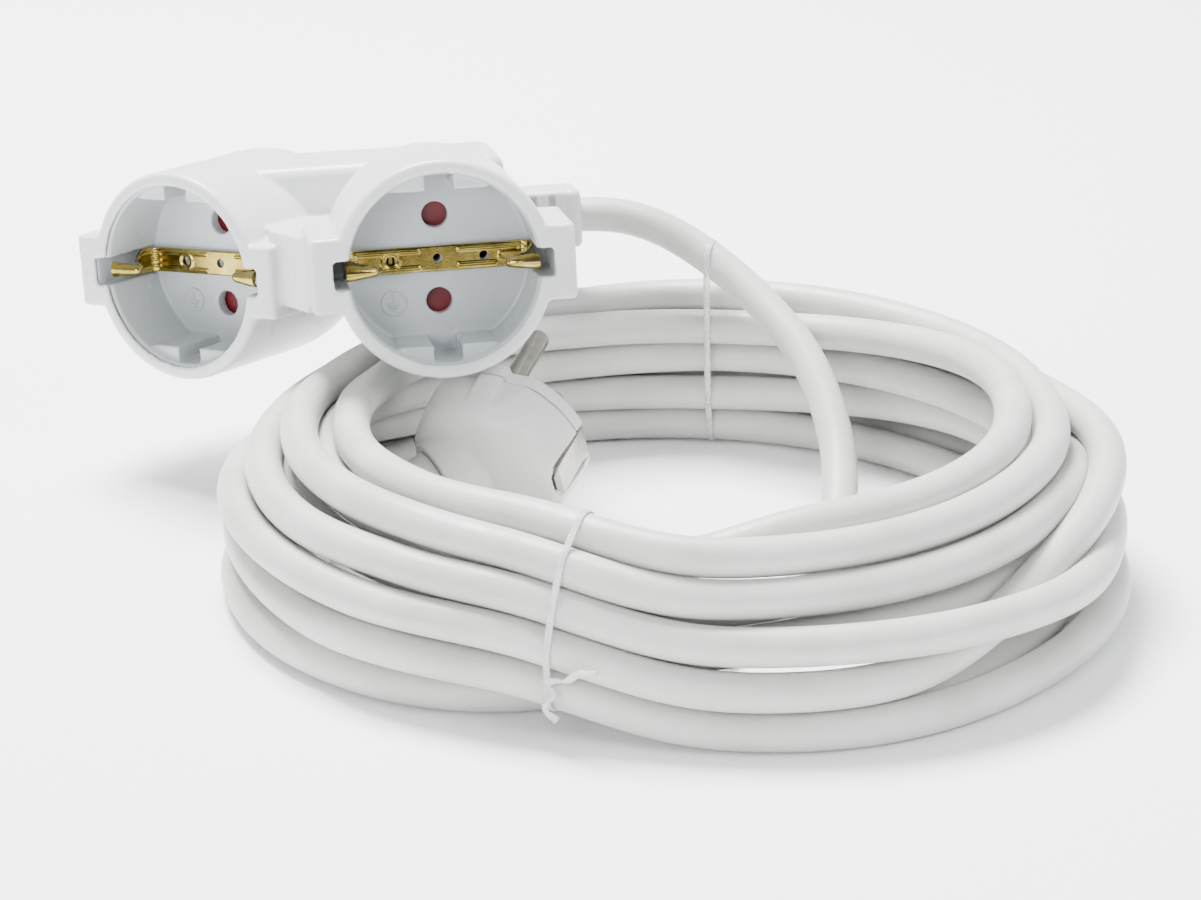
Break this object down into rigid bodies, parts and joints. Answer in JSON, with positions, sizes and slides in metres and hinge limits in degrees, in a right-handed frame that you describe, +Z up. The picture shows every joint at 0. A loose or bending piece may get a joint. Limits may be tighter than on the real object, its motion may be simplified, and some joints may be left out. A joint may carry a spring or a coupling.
{
  "type": "extension cord",
  "caption": "Earthed extension lead: a V-shaped coupling of recessed sockets, a plug with an angled cable exit, and a tied round coil of cable.",
  "frame": {"origin": "middle of the underside of the whole lead's bounding box, on the surface it lies on", "axes": "+Z up, +X along the lead's longest side towards the free side of the coil, -Y towards the right socket's open front"},
  "size_m": [0.2346, 0.2016, 0.0879],
  "materials": {
    "white_pvc": "satin soft PVC",
    "socket_white": "semi-gloss moulding",
    "insert_white": "semi-gloss, slightly blue",
    "cord_white": "satin PVC sheath",
    "shutter_red": "dark red moulding",
    "brass": "rolled strip, bright",
    "nickel": "nickel plated",
    "spring_steel": "bright wire",
    "tie_clear": "translucent film",
    "core_brown": "core insulation",
    "core_blue": "core insulation",
    "core_earth": "core insulation"
  },
  "bodies": {
    "lead": {"coupling_body": "socket_white", "right_socket_insert": "insert_white", "left_socket_insert": "insert_white", "right_earth_clip": "brass", "left_earth_clip": "brass", "right_shutter_spring": "spring_steel", "left_shutter_spring": "spring_steel", "line_busbar": "brass", "neutral_busbar": "brass", "earth_link": "brass", "coupling_line_core": "core_brown", "coupling_neutral_core": "core_blue", "coupling_earth_core": "core_earth", "coupling_cord_grip": "socket_white", "plug_body": "white_pvc", "plug_pin_carrier": "insert_white", "plug_upper_pin": "nickel", "plug_lower_pin": "nickel", "plug_earth_yoke": "nickel", "plug_line_core": "core_brown", "plug_neutral_core": "core_blue", "plug_earth_core": "core_earth", "plug_cord_grip": "white_pvc", "cord_coil": "cord_white", "cord_run": "cord_white", "twist_tie_front": "tie_clear", "twist_tie_back": "tie_clear"},
    "right_shutter": {"right_shutter": "shutter_red"},
    "left_shutter": {"left_shutter": "shutter_red"}
  },
  "joints": [
    {"name": "right_shutter_turn", "type": "hinge", "parent": "lead", "child": "right_shutter", "pos_m": [-0.034, 0.03106, 0.06122], "axis": [-0.1419, 0.9773, -0.1571], "range_deg": [0, 40], "stiffness_Nm_per_rad": 0.0005, "springref_deg": -20.05, "deforming": ["right_shutter_spring"]},
    {"name": "left_shutter_turn", "type": "hinge", "parent": "lead", "child": "left_shutter", "pos_m": [-0.08157, 0.06618, 0.04874], "axis": [0.5626, 0.8238, -0.0695], "range_deg": [0, 40], "stiffness_Nm_per_rad": 0.0005, "springref_deg": -20.05, "deforming": ["left_shutter_spring"]}
  ]
}
